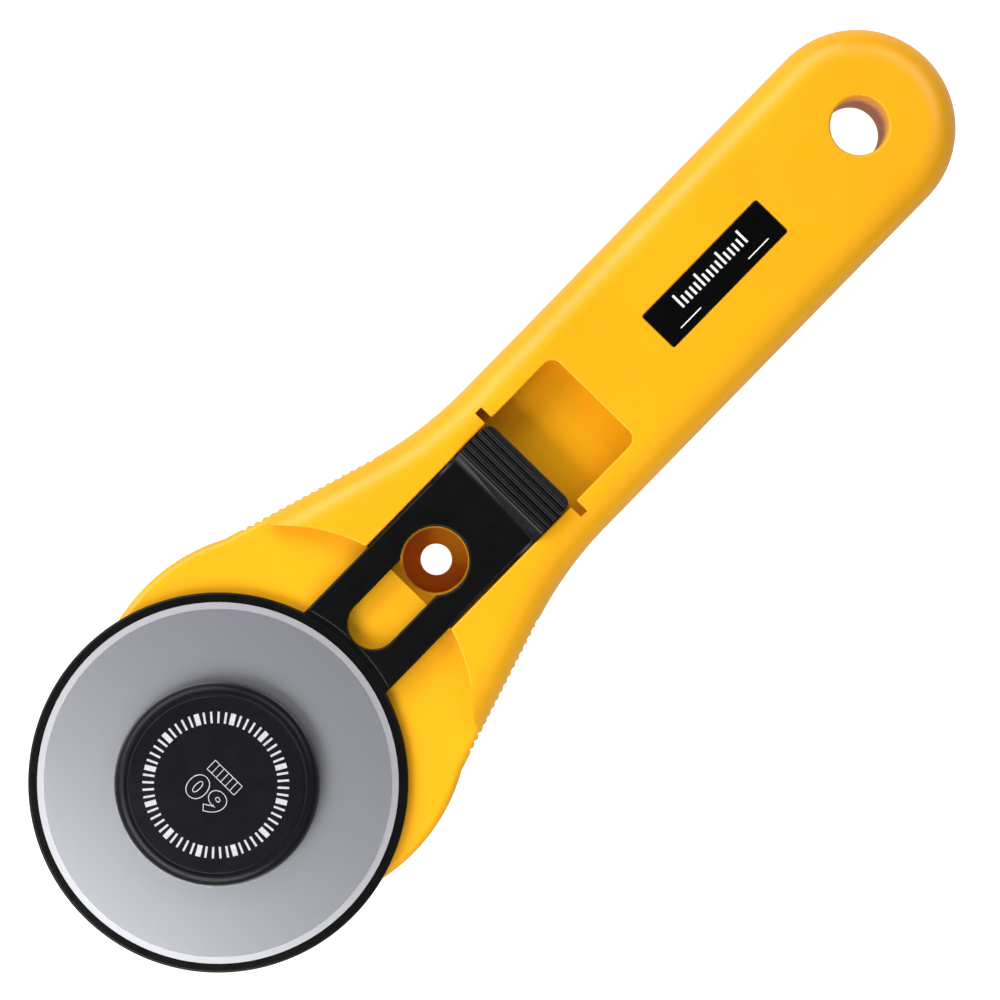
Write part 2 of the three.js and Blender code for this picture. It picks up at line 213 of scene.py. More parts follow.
def dress(piece, material, body, slot, *nodes, sharp=38):
    """Smooths a finished piece, gives it its material, and fixes it to its moving body."""
    work = bmesh.new()
    work.from_mesh(piece.data)
    bmesh.ops.remove_doubles(work, verts=work.verts, dist=0.002 * MM)
    bmesh.ops.dissolve_degenerate(work, edges=work.edges, dist=0.002 * MM)
    work.to_mesh(piece.data)
    work.free()
    piece.data.shade_smooth()
    piece.data.set_sharp_from_angle(angle=math.radians(sharp))
    evenly = piece.modifiers.new("flat faces stay flat", "WEIGHTED_NORMAL")
    evenly.keep_sharp = True
    piece.data.materials.clear()
    piece.data.materials.append(material)
    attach(piece, body)
    if nodes:
        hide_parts(*nodes)
    return piece


def new_material(name):
    material = bpy.data.materials.new(name)
    material.use_nodes = True
    tree = material.node_tree
    where = tree.nodes.new("ShaderNodeTexCoord").outputs["Object"]
    return material, tree, tree.nodes["Principled BSDF"], where


def noise(tree, where, size, detail=2.0):
    """A noise whose blotches are about this many millimetres across."""
    texture = tree.nodes.new("ShaderNodeTexNoise")
    texture.inputs["Scale"].default_value = 1 / (size * MM)
    texture.inputs["Detail"].default_value = detail
    tree.links.new(where, texture.inputs["Vector"])
    return texture.outputs["Fac"]


def blend_colours(tree, fac, dark, light, spread=0.2):
    """A colour between dark and light, as the factor goes from low to high."""
    ramp = tree.nodes.new("ShaderNodeValToRGB")
    ramp.color_ramp.elements[0].position = 0.5 - spread
    ramp.color_ramp.elements[0].color = (*dark, 1)
    ramp.color_ramp.elements[1].position = 0.5 + spread
    ramp.color_ramp.elements[1].color = (*light, 1)
    tree.links.new(fac, ramp.inputs["Fac"])
    return ramp.outputs["Color"]


def ranged(tree, fac, lowest, highest, start=0.3, end=0.7):
    """A value from lowest to highest, as the factor goes from start to end."""
    span = tree.nodes.new("ShaderNodeMapRange")
    span.inputs["From Min"].default_value = start
    span.inputs["From Max"].default_value = end
    span.inputs["To Min"].default_value = lowest
    span.inputs["To Max"].default_value = highest
    tree.links.new(fac, span.inputs["Value"])
    return span.outputs["Result"]


def relief(tree, shader, height, depth, strength):
    """Fine bumps, at most this many millimetres deep."""
    bump = tree.nodes.new("ShaderNodeBump")
    bump.inputs["Distance"].default_value = depth * MM
    bump.inputs["Strength"].default_value = strength
    tree.links.new(height, bump.inputs["Height"])
    tree.links.new(bump.outputs["Normal"], shader.inputs["Normal"])


def moulded_plastic(name, dark, light, rough, grain):
    """Plastic from a steel mould: faint flow marks, and a fine grain that softens its shine."""
    material, tree, shader, where = new_material(name)
    flow = noise(tree, where, 22, 3)
    tree.links.new(blend_colours(tree, flow, dark, light), shader.inputs["Base Color"])
    sheen = noise(tree, where, 2.5, 3)
    tree.links.new(ranged(tree, sheen, rough - 0.03, rough + 0.04), shader.inputs["Roughness"])
    relief(tree, shader, noise(tree, where, 0.35, 1), 0.006, grain)
    return material, shader


yellow, yellow_shader = moulded_plastic(
    "yellow_plastic", (0.82, 0.375, 0.0012), (0.85, 0.405, 0.002), 0.35, 0.25
)
yellow_shader.inputs["Specular IOR Level"].default_value = 0.42
yellow_shader.inputs["Subsurface Weight"].default_value = 0.1
yellow_shader.inputs["Subsurface Radius"].default_value = (0.003, 0.0024, 0.0001)
yellow_shader.inputs["Subsurface Scale"].default_value = 1.0


def guard_space(z0, z1, lip=0.0):
    """The round space that the guard draws back into, and the thin tips cut off beside it."""
    drum = cutter(disc(TRAVEL, 0, STEP_R, 160), z0, z1, lip)
    tips = cutter(panel(TRAVEL, TIP_X, -40, 40, 0.5), z0, z1 + 6)
    return drum, tips


# The thumb channel, and the post hole in its floor.
CHANNEL_HALF = 9.8
POCKET_END = 89.4
SINK_X = 45.3
FLOOR_Z = 12.4
POST_X = 51.5
POST_R = 5.5
POST_BORE_R = 2.68
LIP = 0.35

SEAM_EDGE = (0.18, 0.18)
grip = solid(
    "handle_front",
    rings(handle_outline, JOINT_Z + 0.02, GRIP_TOP, SEAM_EDGE, (EDGE_WIDE, EDGE_TALL), 12),
)
combine(grip, "DIFFERENCE", *guard_space(JOINT_Z - 2, GRIP_TOP, LIP))
combine(
    grip,
    "DIFFERENCE",
    cutter(panel(20, POCKET_END, -CHANNEL_HALF, CHANNEL_HALF, 1.8), FLOOR_Z, GRIP_TOP, LIP),
)

head_plate = solid(
    "head_plate",
    rings(lambda inset=0.0: handle_outline(inset + 0.02), RIM_Z, HEAD_TOP, (0.4, 0.4), (1.3, 1.3)),
)
combine(
    head_plate,
    "DIFFERENCE",
    cutter(panel(SINK_X, 200, -60, 60, 0.2), 0, 30),
    cutter(panel(TIP_X - 1.5, 60, -60, 60, 0.2), 0, JOINT_Z + 0.5),
    cutter(disc(TRAVEL, 0, HEAD_R - 2.2, 128), 0, PLATE_BACK),
)
combine(grip, "UNION", head_plate)
channel_floor = panel(SINK_X - 0.6, POCKET_END, -CHANNEL_HALF - 0.6, CHANNEL_HALF + 0.6, 0.2)
combine(grip, "UNION", solid("channel_floor", rings(channel_floor, JOINT_Z + 0.02, FLOOR_Z + 0.001)))
sleeve = solid("sleeve", rings(disc(POST_X, 0, POST_R + 1.6), 2.4, FLOOR_Z - 0.1, (0.2, 0.2)))
combine(grip, "UNION", sleeve)

BOSS_R = 9.0
BOSS_Z = 8.8
boss = solid("boss", rings(disc(0, 0, BOSS_R), BOSS_Z, PLATE_BACK + 1, (0.4, 0.4)))
combine(grip, "UNION", boss)

# The notches let the guard's lugs in, and the lugs then run in undercuts below the channel's walls.
NOTCH_X = 74.4
NOTCH_HALF = 12.3
LUG_RUN = (69.6, 87.2)
LUG_RUN_HALF = 12.1
HANG_R = 4.85
HANG_LIP = 0.55
LABEL_X = (104.5, 131.5)
LABEL_HALF = 3.7
notch = panel(NOTCH_X - 0.7, NOTCH_X + 0.7, -NOTCH_HALF, NOTCH_HALF, 0.15)
lug_space = panel(*LUG_RUN, -LUG_RUN_HALF, LUG_RUN_HALF, 0.15)
recess = panel(LABEL_X[0] - 0.1, LABEL_X[1] + 0.1, -LABEL_HALF - 0.1, LABEL_HALF + 0.1, 0.5)
double_d = panel(-4.2, 4.2, -3.3, 3.3, 1.5)
combine(
    grip,
    "DIFFERENCE",
    cutter(notch, FLOOR_Z + 0.02, GRIP_TOP, 0.15),
    cutter(lug_space, FLOOR_Z + 0.04, FLOOR_Z + 2.6),
    cutter(disc(POST_X, 0, POST_R), 0, FLOOR_Z, 0.12),
    cutter(disc(HANG_X, 0, HANG_R), 0, GRIP_TOP, HANG_LIP),
    cutter(recess, GRIP_TOP - 0.3, GRIP_TOP, 0.12),
    cutter(double_d, 0, 30),
)

# Fine teeth on the tapered sides, cut by a row of round bars.
TOOTH_PITCH = 1.5
TOOTH_COUNT = 17
TOOTH_PROUD = 0.2
TOOTH_END = 3.6


def node_tree(name, **sizes):
    """A new geometry node group with these named sizes as inputs."""
    tree = bpy.data.node_groups.new(name, "GeometryNodeTree")
    for label, value in sizes.items():
        kind = "NodeSocketInt" if isinstance(value, int) else "NodeSocketFloat"
        tree.interface.new_socket(label, in_out="INPUT", socket_type=kind)
    tree.interface.new_socket("Material", in_out="INPUT", socket_type="NodeSocketMaterial")
    tree.interface.new_socket("Geometry", in_out="OUTPUT", socket_type="NodeSocketGeometry")
    return tree


def grown(name, tree, material, **sizes):
    """Runs a node group with these sizes, and gives back its result as a plain mesh object."""
    mesh = bpy.data.meshes.new(name)
    piece = bpy.data.objects.new(name, mesh)
    bpy.context.scene.collection.objects.link(piece)
    modifier = piece.modifiers.new(name, "NODES")
    modifier.node_group = tree
    for item in tree.interface.items_tree:
        if item.in_out == "INPUT":
            modifier[item.identifier] = material if item.name == "Material" else sizes[item.name]
    return settle(piece)


def add(tree, kind, links=None, **values):
    """Adds a node: values are its settings, links are what feeds its sockets or their constants."""
    made = tree.nodes.new(kind)
    for key, value in values.items():
        setattr(made, key, value)
    for socket, source in (links or {}).items():
        if isinstance(source, bpy.types.NodeSocket):
            tree.links.new(source, made.inputs[socket])
        else:
            made.inputs[socket].default_value = source
    return made.outputs


def end_tree(tree, inputs, instances):
    """Ends a node group: instances made real, with the material that it is given."""
    real = add(tree, "GeometryNodeRealizeInstances", {"Geometry": instances})
    coated = add(
        tree, "GeometryNodeSetMaterial", {"Geometry": real["Geometry"], "Material": inputs["Material"]}
    )
    add(tree, "NodeGroupOutput", {"Geometry": coated["Geometry"]})
    return tree


def row_of_bars():
    """Round bars standing in a row, a pitch apart, along a slanting line."""
    lengths = dict(Pitch=1.0, StartX=0.0, StartY=0.0, Bottom=0.0, Height=1.0, Radius=1.0)
    tree = node_tree("row of bars", Count=2, Sides=3, Angle=0.0, **lengths)
    inputs = add(tree, "NodeGroupInput")
    bar = add(
        tree,
        "GeometryNodeMeshCylinder",
        {"Vertices": inputs["Sides"], "Radius": inputs["Radius"], "Depth": inputs["Height"]},
    )
    half = add(tree, "ShaderNodeMath", {0: inputs["Height"], 1: 0.5}, operation="MULTIPLY")
    middle = add(tree, "ShaderNodeMath", {0: inputs["Bottom"], 1: half[0]}, operation="ADD")
    start = add(tree, "ShaderNodeCombineXYZ", {0: inputs["StartX"], 1: inputs["StartY"], 2: middle[0]})
    step = add(tree, "ShaderNodeCombineXYZ", {0: inputs["Pitch"]})
    turn = add(tree, "ShaderNodeCombineXYZ", {2: inputs["Angle"]})
    along = add(
        tree,
        "ShaderNodeVectorRotate",
        {"Vector": step[0], "Rotation": turn[0]},
        rotation_type="EULER_XYZ",
    )
    line = add(
        tree,
        "GeometryNodeMeshLine",
        {"Count": inputs["Count"], "Start Location": start[0], "Offset": along[0]},
    )
    rows = add(
        tree,
        "GeometryNodeInstanceOnPoints",
        {"Points": line["Mesh"], "Instance": bar["Mesh"], "Rotation": turn[0]},
    )
    return end_tree(tree, inputs, rows["Instances"])


bar_row = row_of_bars()


def tooth_gaps(side):
    """The row of grooves that leaves the grip's teeth on one tapered side."""
    x, y = taper_start()
    x += TOOTH_PROUD * math.sin(TAPER)
    y += TOOTH_PROUD * math.cos(TAPER)
    return grown(
        "cutter",
        bar_row,
        None,
        Count=TOOTH_COUNT,
        Pitch=TOOTH_PITCH * MM,
        StartX=BOLT_X + x * MM,
        StartY=side * y * MM,
        Angle=side * (math.pi - TAPER),
        Bottom=TOOTH_END * MM,
        Height=(GRIP_TOP - 2 * TOOTH_END) * MM,
        Radius=0.62 * MM,
        Sides=12,
    )


combine(grip, "DIFFERENCE", tooth_gaps(1), tooth_gaps(-1))
dress(grip, yellow, "handle", "yellow_plastic", "handle_front_shell")

# The channel's floor comes from a textured face of the mould, so it is duller than the outside. Its
# colour is also a darker yellow than the grip's, which is painted shade for the deep channel.
matt_yellow_painted_shade, matt_shader = moulded_plastic(
    "matt_yellow_painted_shade", (0.69, 0.31, 0.0008), (0.72, 0.335, 0.0012), 0.6, 0.4
)
matt_shader.inputs["Specular IOR Level"].default_value = 0.12
grip.data.materials.append(matt_yellow_painted_shade)
# The faces of the channel's floor get the darker yellow, which is painted shade.
for face in grip.data.polygons:
    x, y, z = ((value / MM) for value in face.center)
    if abs(z - FLOOR_Z) < 0.1 and abs(y) < CHANNEL_HALF + 3 and x - BOLT_X / MM > SINK_X - 1:
        face.material_index = 1

# ---- Ribs behind the head plate ----
# Thin ribs and a low ring, moulded with the head plate, that keep it flat under the nut.
RIB_Z = 8.4
NUT_SEAT_R = 13.4
RIB_LENGTH = 40.0


def spokes():
    """Bars that point out from the bolt all the way round."""
    sizes = dict(Count=3, Radius=1.0, Length=1.0, Width=1.0, Height=1.0, Middle=0.0, Fifth=1.0)
    tree = node_tree("spokes", **sizes)
    inputs = add(tree, "NodeGroupInput")
    size = add(
        tree, "ShaderNodeCombineXYZ", {0: inputs["Length"], 1: inputs["Width"], 2: inputs["Height"]}
    )
    bar = add(tree, "GeometryNodeMeshCube", {"Size": size[0]})
    ring = add(tree, "GeometryNodeMeshCircle", {"Vertices": inputs["Count"], "Radius": inputs["Radius"]})
    outward = add(tree, "GeometryNodeInputPosition")
    aim = add(tree, "FunctionNodeAlignRotationToVector", {"Vector": outward[0]}, axis="X")
    index = add(tree, "GeometryNodeInputIndex")
    fifth = add(tree, "ShaderNodeMath", {0: index[0], 1: 5.0}, operation="MODULO")
    is_fifth = add(tree, "ShaderNodeMath", {0: fifth[0], 1: 0.5}, operation="LESS_THAN")
    wide = add(
        tree, "ShaderNodeMapRange", {"Value": is_fifth[0], "To Min": 1.0, "To Max": inputs["Fifth"]}
    )
    scale = add(tree, "ShaderNodeCombineXYZ", {0: 1.0, 1: wide[0], 2: 1.0})
    bars = add(
        tree,
        "GeometryNodeInstanceOnPoints",
        {"Points": ring["Mesh"], "Instance": bar["Mesh"], "Rotation": aim[0], "Scale": scale[0]},
    )
    shift = add(tree, "ShaderNodeCombineXYZ", {0: BOLT_X, 2: inputs["Middle"]})
    placed = add(tree, "GeometryNodeTransform", {"Geometry": bars["Instances"], "Translation": shift[0]})
    return end_tree(tree, inputs, placed["Geometry"])


spoke_ring = spokes()
rib_top = PLATE_BACK + 0.3
ribs = grown(
    "head_ribs",
    spoke_ring,
    yellow,
    Count=10,
    Radius=(NUT_SEAT_R + 0.5 + RIB_LENGTH / 2) * MM,
    Length=RIB_LENGTH * MM,
    Width=1.4 * MM,
    Height=(rib_top - RIB_Z) * MM,
    Middle=(rib_top + RIB_Z) / 2 * MM,
    Fifth=1.0,
)
under_head = disc(TRAVEL, 0, HEAD_R - 1.0, 128)
combine(ribs, "INTERSECT", solid("inside", rings(under_head, RIB_Z - 1, PLATE_BACK + 0.2)))
seat_ring = solid(
    "seat_ring",
    rings(disc(0, 0, NUT_SEAT_R + 1.4, 96), RIB_Z, PLATE_BACK + 0.2, (0.3, 0.3)),
)
combine(seat_ring, "DIFFERENCE", cutter(disc(0, 0, NUT_SEAT_R, 96), 5, 20))
combine(seat_ring, "INTERSECT", solid("inside", rings(under_head, 6, 14)))
combine(ribs, "UNION", seat_ring)
dress(ribs, yellow, "handle", "yellow_plastic")

# ---- Handle, back half ----
# The plain back of the grip, in the same yellow plastic, welded on along the middle of the sides.
back = solid("handle_back", rings(handle_outline, 0, JOINT_Z, (EDGE_WIDE, EDGE_TALL), SEAM_EDGE, 12))
combine(back, "DIFFERENCE", *guard_space(-1, JOINT_Z + 1))
combine(back, "UNION", solid("foot", rings(disc(POST_X, 0, POST_R + 1.8), 0, 2.3, (0.4, 0.4))))
combine(
    back,
    "DIFFERENCE",
    cutter(disc(HANG_X, 0, HANG_R), -0.003, JOINT_Z + 1, 0, HANG_LIP),
    cutter(disc(POST_X, 0, POST_BORE_R, 64), -0.003, JOINT_Z + 1, 0, 0.3),
    cutter(disc(POST_X, 0, POST_R + 1.68, 96), 2.36, JOINT_Z + 1),
)
combine(back, "DIFFERENCE", tooth_gaps(1), tooth_gaps(-1))
dress(back, yellow, "handle", "yellow_plastic", "handle_back_shell")

# ---- Label ----
# A thin black foil plate glued into a shallow recess on the grip, printed with a plain white scale.
LABEL_Z = high("label_plate")[2]
MARK_PITCH = 1.0
INK = 0.015


def print_ink(name, dark, light):
    """Flat screen-printed ink, a little uneven."""
    material, tree, shader, where = new_material(name)
    colour = blend_colours(tree, noise(tree, where, 0.5, 3), dark, light)
    tree.links.new(colour, shader.inputs["Base Color"])
    tree.links.new(ranged(tree, noise(tree, where, 0.2), 0.4, 0.55), shader.inputs["Roughness"])
    return material


white_ink = print_ink("white_ink", (0.78, 0.78, 0.79), (0.86, 0.86, 0.87))
black_foil, foil_shader = moulded_plastic(
    "label_foil", (0.001, 0.001, 0.001), (0.002, 0.002, 0.002), 0.3, 0.05
)
foil_shader.inputs["Specular IOR Level"].default_value = 0.1
plate = panel(*LABEL_X, -LABEL_HALF, LABEL_HALF, 0.4)
label = solid("label", rings(plate, low("label_plate")[2], LABEL_Z, (0, 0), (0.06, 0.06), 3))
dress(label, black_foil, "handle", "label_foil", "label_plate")


def row_of_marks():
    """Upright marks in a row along the grip, every fifth one longer than the rest."""
    sizes = dict(Count=2, Pitch=1.0, StartX=0.0, Y=0.0, Z=0.0, Width=1.0, Short=1.0, Long=2.0)
    tree = node_tree("row of marks", **sizes)
    inputs = add(tree, "NodeGroupInput")
    start = add(tree, "ShaderNodeCombineXYZ", {0: inputs["StartX"], 1: inputs["Y"], 2: inputs["Z"]})
    step = add(tree, "ShaderNodeCombineXYZ", {0: inputs["Pitch"]})
    line = add(
        tree,
        "GeometryNodeMeshLine",
        {"Count": inputs["Count"], "Start Location": start[0], "Offset": step[0]},
    )
    mark = add(tree, "GeometryNodeMeshCube", {"Size": (1, 1, 1)})
    up = add(tree, "GeometryNodeTransform", {"Geometry": mark["Mesh"], "Translation": (0, 0.5, 0)})
    index = add(tree, "GeometryNodeInputIndex")
    fifth = add(tree, "ShaderNodeMath", {0: index[0], 1: 5.0}, operation="MODULO")
    is_fifth = add(tree, "ShaderNodeMath", {0: fifth[0], 1: 0.5}, operation="LESS_THAN")
    tall = add(
        tree,
        "ShaderNodeMapRange",
        {"Value": is_fifth[0], "To Min": inputs["Short"], "To Max": inputs["Long"]},
    )
    scale = add(tree, "ShaderNodeCombineXYZ", {0: inputs["Width"], 1: tall[0], 2: 2 * INK * MM})
    marks = add(
        tree,
        "GeometryNodeInstanceOnPoints",
        {"Points": line["Mesh"], "Instance": up["Geometry"], "Scale": scale[0]},
    )
    return end_tree(tree, inputs, marks["Instances"])


mark_row = row_of_marks()
scale_marks = grown(
    "label_scale",
    mark_row,
    white_ink,
    Count=16,
    Pitch=MARK_PITCH * MM,
    StartX=BOLT_X + (sum(LABEL_X) / 2 - 7.5 * MARK_PITCH) * MM,
    Y=-0.2 * MM,
    Z=LABEL_Z * MM,
    Width=0.42 * MM,
    Short=1.7 * MM,
    Long=2.7 * MM,
)
for x0, x1 in ((107.6, 112.4), (123.6, 128.4)):
    rule = solid("rule", rings(panel(x0, x1, -2.35, -2.15, 0.05, 2), LABEL_Z - 0.01, LABEL_Z + INK))
    combine(scale_marks, "UNION", rule)
dress(scale_marks, white_ink, "handle", "label_foil")

# ---- Blade guard ----
# One glossy black moulding: a round plate under the blade, an arm in the grip's channel, and a
# ridged thumb pad that slides it back. The keyhole in the arm leaves the post hole behind it open.
GUARD_Z = HEAD_TOP + 0.1
GUARD_TOP = GUARD_Z + 1.8
ARM_HALF = 9.53
ARM_TOP = GRIP_TOP - 0.2
PAD_TOP = high("blade_guard")[2]
PAD_END = high("blade_guard")[0]
black, black_shader = moulded_plastic(
    "black_plastic", (0.0022, 0.0022, 0.0024), (0.0036, 0.0035, 0.0036), 0.28, 0.18
)
black_shader.inputs["Specular IOR Level"].default_value = 0.18

guard = solid("guard", rings(disc(0, 0, GUARD_R, 192), GUARD_Z, GUARD_TOP, (0.3, 0.3), (0.45, 0.45)))
arm_outline = panel(20, PAD_END - 0.02, -ARM_HALF, ARM_HALF, 1.5)
arm = solid("arm", rings(arm_outline, GUARD_Z, ARM_TOP, (0.2, 0.2), (0.45, 0.45)))
combine(arm, "DIFFERENCE", cutter(disc(0, 0, GUARD_R + 0.7, 192), GUARD_TOP - 0.12, ARM_TOP, 0.4))


def side_cut(name, points, half):
    """A solid drawn from the side, as wide as the arm."""
    work = bmesh.new()
    rows = [
        [work.verts.new((BOLT_X + x * MM, y * MM, z * MM)) for x, z in points] for y in (half, -half)
    ]
    count = len(points)
    for i in range(count):
        j = (i + 1) % count
        work.faces.new((rows[0][i], rows[0][j], rows[1][j], rows[1][i]))
    work.faces.new(list(reversed(rows[0])))
    work.faces.new(rows[1])
    bmesh.ops.recalc_face_normals(work, faces=work.faces)
    return as_object(name, work)


RIDGE_PITCH = 1.36
RIDGES = 5
RIDGE_DEEP = 0.5
RIDGES_FROM = PAD_END - 0.25
PAD_FALL = 0.13


def pad_outline():
    """The thumb pad from the side: a straight ramp, then ridges that climb towards its end."""
    foot = low("blade_guard")[2]
    first = RIDGES_FROM - RIDGES * RIDGE_PITCH
    points = [(first - 7, foot), (PAD_END, foot), (PAD_END, PAD_TOP - 0.7)]
    for i in range(RIDGES):
        crest = RIDGES_FROM - (i + 0.5) * RIDGE_PITCH
        top = PAD_TOP - PAD_FALL * i
        for k in range(7):
            a = math.pi * k / 6
            points.append((crest + 0.4 * RIDGE_PITCH * math.cos(a), top - RIDGE_DEEP * (1 - math.sin(a))))
    edge = PAD_TOP - PAD_FALL * RIDGES - RIDGE_DEEP
    points.append((first - 0.3, edge))
    points.append((first - 2.1, ARM_TOP - 0.01))
    points.append((first - 7, ARM_TOP - 0.01))
    return points


pad = side_cut("pad", pad_outline(), ARM_HALF + 1)
pad_half = ARM_HALF + 0.01
pad_sides = panel(50, PAD_END, -pad_half, pad_half, 1.6)
pad_block = rings(pad_sides, low("blade_guard")[2], PAD_TOP + 0.05, (0, 0), (0.5, 0.5))
combine(pad, "INTERSECT", solid("pad_block", pad_block))
combine(arm, "UNION", pad)
combine(guard, "UNION", arm)

SLOT_HALF = 4.2
SLOT_X = 36.8
KEYHOLE_R = 5.75
STUD_SLOT = (4.4, 3.4)
LUG_X = (70.4, 71.6)
LUG_HALF = 11.9


def keyhole(inset=0.0):
    """The slot and the round hole in the arm, as one outline."""
    half = SLOT_HALF - inset
    r = KEYHOLE_R - inset
    meet = math.asin(half / r)
    return arc(SLOT_X, 0, half, QUARTER, 3 * QUARTER, 24) + arc(
        POST_X, 0, r, -math.pi + meet, math.pi - meet, 64
    )


combine(
    guard,
    "DIFFERENCE",
    cutter(keyhole, 5, ARM_TOP, 0.4),
    cutter(panel(-TRAVEL - STUD_SLOT[0], STUD_SLOT[0], -STUD_SLOT[1], STUD_SLOT[1], 0.7), 5, 30),
)
lug_bar = panel(*LUG_X, -LUG_HALF, LUG_HALF, 0.1)
lugs = solid("lugs", rings(lug_bar, FLOOR_Z + 0.35, FLOOR_Z + 2.3, (0.1, 0.1), (0.1, 0.1), 2))
combine(guard, "UNION", lugs)
dress(guard, black, "guard", "black_plastic", "blade_guard")

# ---- Blade ----
# A round blade stamped from thin tool steel, satin ground on its faces, with a bright edge ground
# on both sides at its rim. It turns freely on the stud.
BLADE_R = high("rotary_blade")[1]
BLADE_LOW = low("rotary_blade")[2]
BLADE_TOP = high("rotary_blade")[2]
BEVEL = 1.08
BORE_R = 4.12


def turned(name, profile, steps=192):
    """A closed profile of (radius, z) points turned about the bolt; a radius of 0 is on the axis."""
    work = bmesh.new()
    rows = []
    for r, z in profile:
        around = steps if r > 0 else 1
        row = []
        for i in range(around):
            a = 2 * math.pi * i / steps
            row.append(work.verts.new((BOLT_X + r * MM * math.cos(a), r * MM * math.sin(a), z * MM)))
        rows.append(row)
    for one, two in zip(rows, rows[1:] + rows[:1]):
        for i in range(steps):
            j = (i + 1) % steps
            corners = [one[i % len(one)], one[j % len(one)], two[j % len(two)], two[i % len(two)]]
            corners = list(dict.fromkeys(corners))
            if len(corners) > 2:
                work.faces.new(corners)
    bmesh.ops.recalc_face_normals(work, faces=work.faces)
    return as_object(name, work)


def distance_from_bolt(tree, where):
    """How far a point is from the bolt's axis, in millimetres."""
    centred = tree.nodes.new("ShaderNodeMapping")
    centred.inputs["Location"].default_value = (-BOLT_X / MM, 0, 0)
    centred.inputs["Scale"].default_value = (1 / MM, 1 / MM, 0)
    tree.links.new(where, centred.inputs["Vector"])
    length = tree.nodes.new("ShaderNodeVectorMath")
    length.operation = "LENGTH"
    tree.links.new(centred.outputs["Vector"], length.inputs[0])
    return length.outputs["Value"]


def rings_of_grinding(tree, radius, size):
    """Noise that only changes with the distance from the bolt, as a turned or ground face shows."""
    apart = tree.nodes.new("ShaderNodeCombineXYZ")
    tree.links.new(radius, apart.inputs["X"])
    texture = tree.nodes.new("ShaderNodeTexNoise")
    texture.inputs["Scale"].default_value = 1 / size
    texture.inputs["Detail"].default_value = 3
    tree.links.new(apart.outputs["Vector"], texture.inputs["Vector"])
    return texture.outputs["Fac"]


def ground_steel():
    """Satin blade steel with fine circular grinding, and a paler, matter ground edge."""
    material, tree, shader, where = new_material("blade_steel")
    shader.inputs["Metallic"].default_value = 1.0
    radius = distance_from_bolt(tree, where)
    edge = ranged(tree, radius, 0, 1, BLADE_R - BEVEL - 0.02, BLADE_R - BEVEL + 0.02)
    lines = rings_of_grinding(tree, radius, 0.25)
    face = blend_colours(tree, lines, (0.8, 0.82, 0.89), (0.86, 0.88, 0.95), 0.3)
    both = tree.nodes.new("ShaderNodeMix")
    both.data_type = "RGBA"
    tree.links.new(edge, both.inputs["Factor"])
    tree.links.new(face, both.inputs[6])
    both.inputs[7].default_value = (0.45, 0.45, 0.475, 1)
    tree.links.new(both.outputs[2], shader.inputs["Base Color"])
    tree.links.new(ranged(tree, edge, 0.3, 0.62, 0, 1), shader.inputs["Roughness"])
    relief(tree, shader, noise(tree, where, 0.12, 2), 0.01, 0.12)
    return material


half_edge = 0.012
middle = (BLADE_LOW + BLADE_TOP) / 2
blade = turned(
    "blade",
    [
        (BORE_R, BLADE_LOW),
        (BLADE_R - BEVEL, BLADE_LOW),
        (BLADE_R, middle - half_edge),
        (BLADE_R, middle + half_edge),
        (BLADE_R - BEVEL, BLADE_TOP),
        (BORE_R, BLADE_TOP),
    ],
    256,
)
dress(blade, ground_steel(), "blade", "blade_steel", "rotary_blade", sharp=4)

# ---- Bolt cap ----
# The wide black cap moulded over the bolt's flange. It clamps the blade, and it is printed in
# white with a ring of marks and the blade's size in millimetres.
CAP_LOW = low("bolt_cap")[2]
CAP_TOP = high("bolt_cap")[2]
CAP_R = high("bolt_cap")[1]
FLAT_R = 14.7
SOCKET_R = 4.05


def cap_profile():
    """Half of the cap's section: flat face, fine groove, rolled shoulder, straight rim."""
    shoulder_r = FLAT_R + 0.35
    shoulder = [
        (shoulder_r + (CAP_R - shoulder_r) * math.sin(a), CAP_TOP - 0.1 - 1.9 * (1 - math.cos(a)))
        for a in (QUARTER * i / 12 for i in range(13))
    ]
    groove = CAP_TOP - 0.16
    socket_top = CAP_LOW + 2.2
    return (
        [(0, CAP_TOP), (FLAT_R - 0.25, CAP_TOP), (FLAT_R - 0.1, CAP_TOP - 0.05)]
        + [(FLAT_R, groove), (FLAT_R + 0.15, groove)]
        + shoulder
        + [(CAP_R, CAP_LOW + 0.5), (CAP_R - 0.15, CAP_LOW + 0.15), (CAP_R - 0.5, CAP_LOW)]
        + [(SOCKET_R, CAP_LOW), (SOCKET_R, socket_top), (0, socket_top)]
    )


cap = turned("bolt_cap_cover", cap_profile(), 160)
cap_black, cap_shader = moulded_plastic(
    "cap_plastic", (0.0026, 0.0026, 0.0042), (0.0042, 0.0042, 0.0062), 0.34, 0.2
)
cap_shader.inputs["Specular IOR Level"].default_value = 0.2
dress(cap, cap_black, "bolt", "black_plastic", "bolt_cap")

cap_ink = print_ink("cap_ink", (0.44, 0.44, 0.47), (0.54, 0.54, 0.57))
cap_marks = grown(
    "cap_marks",
    spoke_ring,
    cap_ink,
    Count=60,
    Radius=11.15 * MM,
    Length=1.9 * MM,
    Width=0.36 * MM,
    Height=2 * INK * MM,
    Middle=CAP_TOP * MM,
    Fifth=2.4,
)


def ladder(x0, x1, y0, cells, pitch, line):
    """A row of thin printed boxes on the cap, side by side."""
    outside = panel(x0, x1, y0, y0 + cells * pitch + line, 0.15, 3)
    boxes = solid("ladder", rings(outside, CAP_TOP - 0.01, CAP_TOP + INK))
    for cell in range(cells):
        y = y0 + line + cell * pitch
        inside = panel(x0 + line, x1 - line, y, y + pitch - line, 0.05, 3)
        combine(boxes, "DIFFERENCE", cutter(inside, CAP_TOP - 1, CAP_TOP + 1))
    return boxes


combine(cap_marks, "UNION", ladder(x0=0.85, x1=2.95, y0=-3.35, cells=6, pitch=1.03, line=0.125))
dress(cap_marks, cap_ink, "bolt", "black_plastic")

